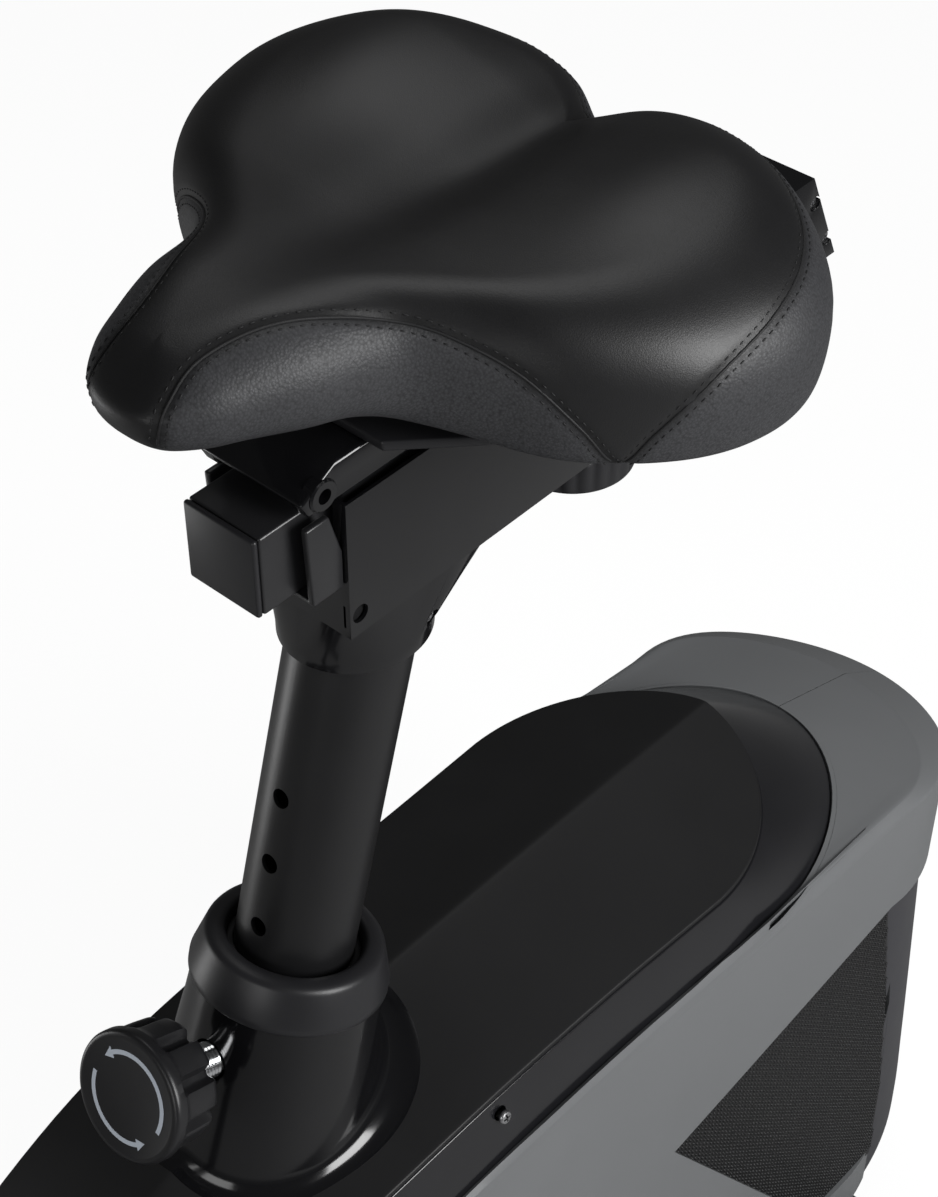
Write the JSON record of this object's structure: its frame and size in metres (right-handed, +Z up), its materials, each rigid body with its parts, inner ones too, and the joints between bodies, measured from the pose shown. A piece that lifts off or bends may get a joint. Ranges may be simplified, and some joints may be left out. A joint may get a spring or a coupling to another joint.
{
  "type": "exercise bike",
  "caption": "Upright exercise bike with a sliding saddle on a height-adjustable post, a closed drive housing, cranks, handlebar mast and console.",
  "frame": {"origin": "on the floor, at the centre of the footprint's bounding box", "axes": "+Z up, +Y from the handlebar towards the saddle's rear, +X to the left of the rider, who faces -Y"},
  "size_m": [0.574, 1.18, 1.2675],
  "materials": {
    "gloss_black": "polished black plastic",
    "satin_black": "satin black plastic",
    "painted_black": "semi-gloss black paint on steel",
    "grey_shell": "fine-grained mid grey plastic",
    "mesh_black": "black perforated plastic",
    "saddle_vinyl": "grained black vinyl",
    "rubber_black": "matt black rubber",
    "chrome": "chrome plated",
    "steel": "turned steel",
    "iron": "machined cast iron",
    "belt_rubber": "ribbed rubber belt",
    "screen_glass": "dark display window",
    "button_grey": "grey plastic"
  },
  "bodies": {
    "frame": {"seat_tube": "painted_black", "post_collar": "satin_black", "plunger_bush": "chrome", "deck_cover": "satin_black", "deck_surround": "gloss_black", "side_shell_left": "grey_shell", "mesh_grille_left": "mesh_black", "side_shell_right": "grey_shell", "mesh_grille_right": "mesh_black", "rear_cover": "satin_black", "neck_cover": "gloss_black", "main_beam": "painted_black", "frame_strut": "painted_black", "front_stabiliser": "painted_black", "rear_stabiliser": "painted_black", "rear_cap_left": "satin_black", "front_cap_left": "satin_black", "rear_cap_right": "satin_black", "front_cap_right": "satin_black", "mast_tube": "painted_black", "handlebar": "painted_black", "handlebar_grip_left": "rubber_black", "handlebar_grip_right": "rubber_black", "console_housing": "satin_black", "console_screen": "screen_glass", "crank_bearing_left": "steel", "crank_bearing_right": "steel", "drive_belt": "belt_rubber", "flywheel_bracket": "painted_black"},
    "post": {"seat_post": "satin_black", "head_rail": "painted_black", "lower_cowl": "gloss_black", "front_bracket": "painted_black"},
    "carriage": {"slide_beam": "painted_black", "beam_front_cap": "satin_black", "beam_rear_cover": "gloss_black", "beam_cover": "gloss_black", "saddle_bracket": "painted_black", "saddle_pan": "satin_black", "saddle_cushion": "saddle_vinyl"},
    "slide_lock": {"slide_lock_knob": "satin_black"},
    "plunger": {"plunger_pin": "steel"},
    "plunger_knob": {"plunger_knob": "satin_black"},
    "crank": {"crank_spindle": "steel", "drive_pulley": "satin_black", "crank_arm_left": "painted_black", "crank_arm_right": "painted_black"},
    "pedal_left": {"pedal_left": "rubber_black"},
    "pedal_right": {"pedal_right": "rubber_black"},
    "flywheel": {"flywheel": "iron", "flywheel_axle": "steel", "flywheel_pulley": "steel"},
    "brake_arm": {"brake_arm": "steel"},
    "transport_wheel_left": {"transport_wheel_left": "rubber_black"},
    "transport_wheel_right": {"transport_wheel_right": "rubber_black"},
    "levelling_foot_left": {"levelling_foot_left": "rubber_black"},
    "levelling_foot_right": {"levelling_foot_right": "rubber_black"},
    "console_button_1": {"console_button_1": "button_grey"},
    "console_button_2": {"console_button_2": "button_grey"},
    "console_button_3": {"console_button_3": "button_grey"}
  },
  "joints": [
    {"name": "post_height", "type": "slide", "parent": "frame", "child": "post", "axis": [0, 0.2721, 0.9623], "range_m": [-0.1456, 0.0728]},
    {"name": "saddle_slide", "type": "slide", "parent": "post", "child": "carriage", "axis": [0, 1, 0], "range_m": [-0.065, 0.018]},
    {"name": "slide_lock_turn", "type": "hinge", "parent": "post", "child": "slide_lock", "pos_m": [0, 0.219, 0.832], "axis": [0, 0, 1], "range_deg": [-360, 0]},
    {"name": "plunger_pull", "type": "slide", "parent": "frame", "child": "plunger", "axis": [0, -0.9272, 0.3746], "range_m": [-0.004, 0.01], "stiffness_N_per_m": 900},
    {"name": "plunger_turn", "type": "hinge", "parent": "plunger", "child": "plunger_knob", "pos_m": [0, -0.08449, 0.64126], "axis": [0, -0.9272, 0.3746], "range_deg": [0, 360]},
    {"name": "flywheel_spin", "type": "hinge", "parent": "frame", "child": "flywheel", "pos_m": [0, 0.322, 0.268], "axis": [1, 0, 0], "continuous": true},
    {"name": "crank_spin", "type": "hinge", "parent": "frame", "child": "crank", "pos_m": [0, -0.06837, 0.33], "axis": [1, 0, 0], "continuous": true},
    {"name": "pedal_left_spin", "type": "hinge", "parent": "crank", "child": "pedal_left", "pos_m": [0.159, 0.09138, 0.27186], "axis": [1, 0, 0], "continuous": true},
    {"name": "pedal_right_spin", "type": "hinge", "parent": "crank", "child": "pedal_right", "pos_m": [-0.159, -0.22812, 0.38814], "axis": [1, 0, 0], "continuous": true},
    {"name": "brake_lift", "type": "hinge", "parent": "frame", "child": "brake_arm", "pos_m": [0, 0.196, 0.428], "axis": [1, 0, 0], "range_deg": [0, 8]},
    {"name": "transport_wheel_left_spin", "type": "hinge", "parent": "frame", "child": "transport_wheel_left", "pos_m": [0.274, -0.563, 0.027], "axis": [1, 0, 0], "continuous": true},
    {"name": "transport_wheel_right_spin", "type": "hinge", "parent": "frame", "child": "transport_wheel_right", "pos_m": [-0.274, -0.563, 0.027], "axis": [1, 0, 0], "continuous": true},
    {"name": "levelling_foot_left_turn", "type": "hinge", "parent": "frame", "child": "levelling_foot_left", "pos_m": [0.205, 0.44, 0.005], "axis": [0, 0, 1], "range_deg": [-360, 360]},
    {"name": "levelling_foot_right_turn", "type": "hinge", "parent": "frame", "child": "levelling_foot_right", "pos_m": [-0.205, 0.44, 0.005], "axis": [0, 0, 1], "range_deg": [-360, 360]},
    {"name": "console_button_1_press", "type": "slide", "parent": "frame", "child": "console_button_1", "axis": [0, 0.6428, 0.766], "range_m": [-0.002, 0], "stiffness_N_per_m": 400},
    {"name": "console_button_2_press", "type": "slide", "parent": "frame", "child": "console_button_2", "axis": [0, 0.6428, 0.766], "range_m": [-0.002, 0], "stiffness_N_per_m": 400},
    {"name": "console_button_3_press", "type": "slide", "parent": "frame", "child": "console_button_3", "axis": [0, 0.6428, 0.766], "range_m": [-0.002, 0], "stiffness_N_per_m": 400}
  ],
  "couplings": [
    {"joint": "crank_spin", "follows": "flywheel_spin", "ratio": 0.28571}
  ]
}
